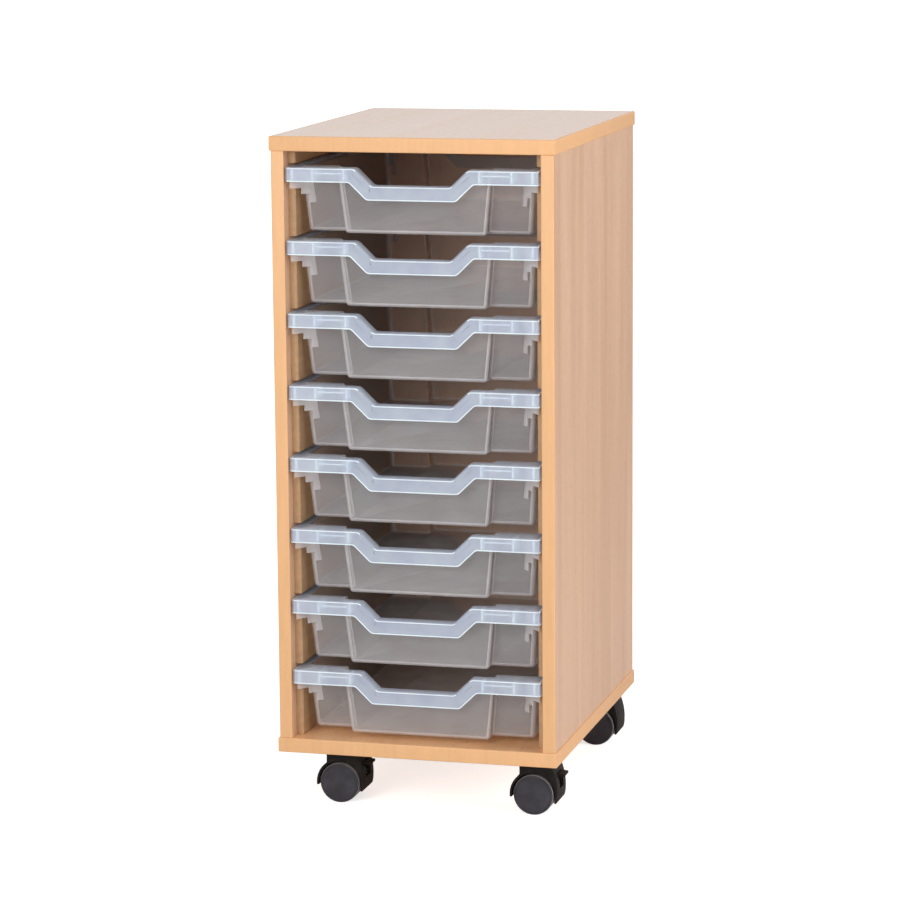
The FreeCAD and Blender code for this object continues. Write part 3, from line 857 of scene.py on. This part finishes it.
class TRAYUNIT_OT_trays(bpy.types.Operator):
    """Mould the trays, with dipped handles, noses, recesses, ribs and stepped gussets"""

    bl_idname = "trayunit.trays"
    bl_label = "Mould the trays"

    def execute(self, context):
        size = context.scene.trayunit_tray
        finish = context.scene.trayunit_finish
        tray = tray_sheet(size)
        # the edge finish takes the rims' tone, lifted as a painted highlight
        for word in FINISHES:
            tone = finish.tray if word in ("rim", "edge") else finish.tray_wall
            lifted = tuple(min(1.0, value * PAINTED_HIGHLIGHT_LIFTS[word]) for value in tone)
            tray.data.materials.append(frosted("tray_%s_frosted" % word, lifted, OPACITIES[word], FROST))
        round_tray(tray, size)
        paint_tray(tray, size)
        apply_modifier(tray, "SOLIDIFY", thickness=size.wall * SKIN_SHARE, offset=-1.0,
                       use_even_offset=True, use_rim=True)
        stiffeners = tray_stiffeners(size)
        # ribs and label ledges take the edge finish, a painted highlight that shows them as pale stripes
        # behind the bands; the gussets take the fold finish
        for piece in stiffeners:
            word = "fold" if piece.name.startswith("gusset") else "edge"
            piece.data.materials.clear()
            piece.data.materials.append(tray.data.materials[FINISHES.index(word)])
        join(tray, stiffeners)
        smooth(tray)
        pitch = (TRAY_HIGH.z - LAST_TRAY_HIGH.z) / (TRAY_COUNT - 1)
        for number in range(1, TRAY_COUNT + 1):
            place = Vector((0, (TRAY_LOW.y + TRAY_HIGH.y) / 2, TRAY_HIGH.z - (number - 1) * pitch))
            twin = copy_to(tray, "moulded_tray_%d" % number, place)
            settle(twin, "tray_%d_body" % number, "tray_plastic", "tray_%d" % number)
        remove(tray)
        return {"FINISHED"}


# ---------------------------------------------------------------- castors
def revolve(name, profile, steps):
    """Closed solid of revolution about the Y axis, drawn as a profile of (radius, place along Y)."""
    piece = add_mesh(name, bpy.ops.mesh.primitive_plane_add, size=1.0)
    edit(piece)
    bpy.ops.mesh.select_mode(type="VERT")
    take_all()
    bpy.ops.mesh.merge(type="CENTER")
    take_all()
    bpy.ops.transform.translate(value=(profile[0][0], profile[0][1], 0))
    for (radius, place), (next_radius, next_place) in zip(profile, profile[1:]):
        drag((next_radius - radius, next_place - place, 0))
    take_all()
    bpy.ops.mesh.spin(steps=steps, angle=math.tau, center=(0, 0, 0), axis=(0, 1, 0))
    weld()
    outwards()
    done()
    return piece


def arc(centre, radius, start, end, steps):
    """Points of an arc, from one angle to another in degrees."""
    points = []
    for step in range(steps + 1):
        angle = math.radians(start + (end - start) * step / steps)
        points.append((centre[0] + radius * math.cos(angle), centre[1] + radius * math.sin(angle)))
    return points


class TRAYUNIT_OT_wheels(bpy.types.Operator):
    """Turn the castor wheels, with rounded treads, ring grooves and domed caps"""

    bl_idname = "trayunit.wheels"
    bl_label = "Turn the wheels"

    def execute(self, context):
        finish = context.scene.trayunit_finish
        disc = moulded("castor_wheel_plastic", finish.wheel, 0.5, 0.22)
        tread = moulded("castor_tread_rubber", finish.tread, 0.6, 0.2)
        back = self.turn_wheel(context.scene.trayunit_castor, disc, tread)
        front = mirrored_copy(back, (1, -1, 1))
        for castor in CASTORS:
            for wheel, word in ((front, "front"), (back, "back")):
                node = "%s_wheel_%s" % (castor, word)
                low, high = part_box(node)
                inner_face = low.y if wheel is back else high.y
                place = Vector(((low.x + high.x) / 2, inner_face, (low.z + high.z) / 2))
                twin = copy_to(wheel, node + "_turned", place)
                smooth(twin)
                settle(twin, node + "_body", "castor_wheel", node)
        remove(front)
        remove(back)
        return {"FINISHED"}

    def turn_wheel(self, size, disc, tread):
        """Wheel about the Y axis, with its inner face at zero and its cap towards +Y."""
        low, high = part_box("%s_wheel_back" % CASTORS[0])
        radius = (high.z - low.z) / 2
        width = high.y - low.y
        shoulder = size.shoulder
        groove_floor = width - 1.8 * size.groove
        bore_end = width * 0.7
        profile = [(0, width)]
        profile += [(size.cap * share, width - size.groove * share ** 2) for share in (0.35, 0.7, 0.9)]
        profile += [(size.cap, width - size.groove), (size.cap + size.rim_round, groove_floor),
                    (size.rim - size.rim_round, groove_floor), (size.rim, width - size.rim_round)]
        profile += arc((radius - shoulder, width - shoulder), shoulder, 90, 0, 5)
        profile += arc((radius - shoulder / 2, shoulder / 2), shoulder / 2, 0, -90, 3)
        profile += [(size.well, 0), (size.well_floor, size.well_depth), (size.hub_floor, size.well_depth),
                    (size.hub, 0), (size.bore, 0), (size.bore, bore_end), (0, bore_end)]
        wheel = revolve("castor_wheel", profile, 48)
        wheel.data.materials.append(disc)
        wheel.data.materials.append(tread)
        edit(wheel)
        pick("FACE", lambda f: math.hypot(f.calc_center_median().x, f.calc_center_median().z)
             > radius - shoulder / 4)
        assign(wheel, 1)
        outwards()
        done()
        return wheel


class TRAYUNIT_OT_hoods(bpy.types.Operator):
    """Finish the castor housings and brake levers"""

    bl_idname = "trayunit.hoods"
    bl_label = "Finish the castor housings"

    def execute(self, context):
        material = moulded("castor_housing_plastic", context.scene.trayunit_finish.castor, 0.55, 0.12)
        width = context.scene.trayunit_castor.housing_round
        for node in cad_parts:
            if node.endswith("_hood"):
                piece = self.ease_hood(node, width)
                body = node.replace("_hood", "_swivel")
            elif node.endswith("_brake_lever"):
                piece = self.ease_lever(node, width)
                body = node.replace("_brake_lever", "_brake")
            else:
                continue
            piece.data.materials.append(material)
            settle(piece, body, "castor_housing", node)
        return {"FINISHED"}

    def ease_hood(self, node, width):
        low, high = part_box(node)

        def outer(edge):
            side = all(near(spot.co.y, low.y) or near(spot.co.y, high.y) for spot in edge.verts)
            across = near(abs(edge.verts[0].co.y - edge.verts[1].co.y), high.y - low.y)
            return side or across

        return eased_copy(node, width, outer)

    def ease_lever(self, node, width):
        low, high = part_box(node)
        pedal_start = low.x + (high.x - low.x) * 0.3
        return eased_copy(node, width, lambda e: all(spot.co.x > pedal_start for spot in e.verts))


# ---------------------------------------------------------------- stage
LAMP_TARGET = (0, 0, 0.45)
LAMP_TINT = (0.93, 0.97, 1.0)
LAMPS = (("front_softbox", (-0.7, -3.2, 1.6), 54.0, 1.5),       # name, place, watts and size
         ("side_softbox", (2.5, -0.7, 1.3), 38.0, 1.4),
         ("top_softbox", (0.2, -0.2, 3.0), 6.0, 2.0))


def lamp(name, place, energy, size):
    """Square softbox turned to the cabinet."""
    data = bpy.data.lights.new(name, "AREA")
    data.energy = energy
    data.size = size
    data.color = LAMP_TINT
    obj = bpy.data.objects.new(name, data)
    bpy.context.scene.collection.objects.link(obj)
    obj.location = place
    obj.rotation_euler = (Vector(LAMP_TARGET) - Vector(place)).to_track_quat("-Z", "Y").to_euler()


class TRAYUNIT_OT_stage(bpy.types.Operator):
    """Set up the floor, the light and the camera"""

    bl_idname = "trayunit.stage"
    bl_label = "Set the stage"

    def execute(self, context):
        self.set_floor()
        self.set_world(context.scene)
        for values in LAMPS:
            lamp(*values)
        self.set_camera(context.scene)
        context.scene.view_settings.view_transform = "Standard"
        return {"FINISHED"}

    def set_floor(self):
        """White floor that glows for the camera alone, less so near the object, where shadows fall."""
        floor = add_mesh("studio_floor", bpy.ops.mesh.primitive_plane_add, size=120.0)
        shader = Shader("studio_floor")
        cloud = shader.noise(shader.stretch((1.0, 1.0, 1.0)), 0.5)
        shader.to(shader.ramp(cloud, 0.3, 0.7, ((0.90, 0.90, 0.90), (0.91, 0.91, 0.91))), "Base Color")
        shader.set(Roughness=0.9, Specular_IOR_Level=0.0, Emission_Color=(1.0, 1.0, 1.0, 1.0))
        spread = shader.nodes.new("ShaderNodeVectorMath")
        spread.operation = "LENGTH"
        shader.links.new(shader.place, spread.inputs[0])
        rays = shader.nodes.new("ShaderNodeLightPath").outputs["Is Camera Ray"]
        glow = shader.nodes.new("ShaderNodeMath")
        glow.operation = "MULTIPLY"
        shader.links.new(shader.grey(spread.outputs["Value"], 0.30, 1.0, 0.68, 1.0), glow.inputs[0])
        shader.links.new(rays, glow.inputs[1])
        shader.to(glow.outputs[0], "Emission Strength")
        floor.data.materials.append(shader.material)

    def set_world(self, scene):
        """White backdrop for what is seen or mirrored, and a soft fill for all other light."""
        world = bpy.data.worlds.new("studio")
        scene.world = world
        world.use_nodes = True
        nodes, links = world.node_tree.nodes, world.node_tree.links
        backdrop = nodes["Background"]
        backdrop.inputs["Color"].default_value = (1.0, 1.0, 1.0, 1.0)
        fill = nodes.new("ShaderNodeBackground")
        fill.inputs["Color"].default_value = (*scene.trayunit_stage.fill, 1.0)
        path = nodes.new("ShaderNodeLightPath")
        seen = path.outputs["Is Camera Ray"]
        for ray in ("Is Glossy Ray", "Is Transmission Ray"):
            either = nodes.new("ShaderNodeMath")
            either.operation = "MAXIMUM"
            links.new(seen, either.inputs[0])
            links.new(path.outputs[ray], either.inputs[1])
            seen = either.outputs[0]
        blend = nodes.new("ShaderNodeMixShader")
        for output, socket in ((seen, 0), (fill.outputs[0], 1), (backdrop.outputs[0], 2)):
            links.new(output, blend.inputs[socket])
        links.new(blend.outputs[0], nodes["World Output"].inputs["Surface"])

    def set_camera(self, scene):
        stage = scene.trayunit_stage
        data = bpy.data.cameras.new("front_view")
        camera = bpy.data.objects.new("front_view", data)
        scene.collection.objects.link(camera)
        scene.camera = camera
        azimuth, elevation, roll = stage.azimuth, stage.elevation, stage.roll
        back = Vector((math.sin(azimuth) * math.cos(elevation), -math.cos(azimuth) * math.cos(elevation),
                       math.sin(elevation)))
        right = (-back).cross(Vector((0, 0, 1))).normalized()
        up = right.cross(-back)
        turned_right = math.cos(roll) * right + math.sin(roll) * up
        turned_up = -math.sin(roll) * right + math.cos(roll) * up
        place = (Vector((0, 0, stage.target)) + back * stage.distance
                 + turned_right * stage.aside + turned_up * stage.above)
        turn = Matrix((turned_right, turned_up, back)).transposed()
        camera.matrix_world = Matrix.Translation(place) @ turn.to_4x4()
        data.sensor_width = 36.0
        data.lens = stage.lens
        data.clip_end = 300.0


# ---------------------------------------------------------------- panel and registration
STEPS = (TRAYUNIT_OT_cabinet, TRAYUNIT_OT_trays, TRAYUNIT_OT_wheels, TRAYUNIT_OT_hoods, TRAYUNIT_OT_stage)


class TRAYUNIT_PT_panel(bpy.types.Panel):
    """Lists the steps and their sizes"""

    bl_label = "Tray storage unit"
    bl_idname = "TRAYUNIT_PT_panel"
    bl_space_type = "VIEW_3D"
    bl_region_type = "UI"
    bl_category = "Tray unit"

    def draw(self, context):
        for step in STEPS:
            self.layout.operator(step.bl_idname)
        for group in ("trayunit_tray", "trayunit_castor", "trayunit_finish", "trayunit_stage"):
            values = getattr(context.scene, group)
            box = self.layout.box()
            for key in values.__annotations__:
                box.prop(values, key)


GROUPS = {"trayunit_tray": TrayUnitTray, "trayunit_castor": TrayUnitCastor,
          "trayunit_finish": TrayUnitFinish, "trayunit_stage": TrayUnitStage}


def register():
    for group in GROUPS.values():
        bpy.utils.register_class(group)
    for name, group in GROUPS.items():
        setattr(bpy.types.Scene, name, bpy.props.PointerProperty(type=group))
    for step in STEPS:
        bpy.utils.register_class(step)
    bpy.utils.register_class(TRAYUNIT_PT_panel)


def unregister():
    bpy.utils.unregister_class(TRAYUNIT_PT_panel)
    for step in reversed(STEPS):
        bpy.utils.unregister_class(step)
    for name, group in GROUPS.items():
        delattr(bpy.types.Scene, name)
        bpy.utils.unregister_class(group)


def main():
    register()
    bpy.ops.trayunit.cabinet()
    bpy.ops.trayunit.trays()
    bpy.ops.trayunit.wheels()
    bpy.ops.trayunit.hoods()
    bpy.ops.trayunit.stage()


if __name__ == "__main__":
    main()
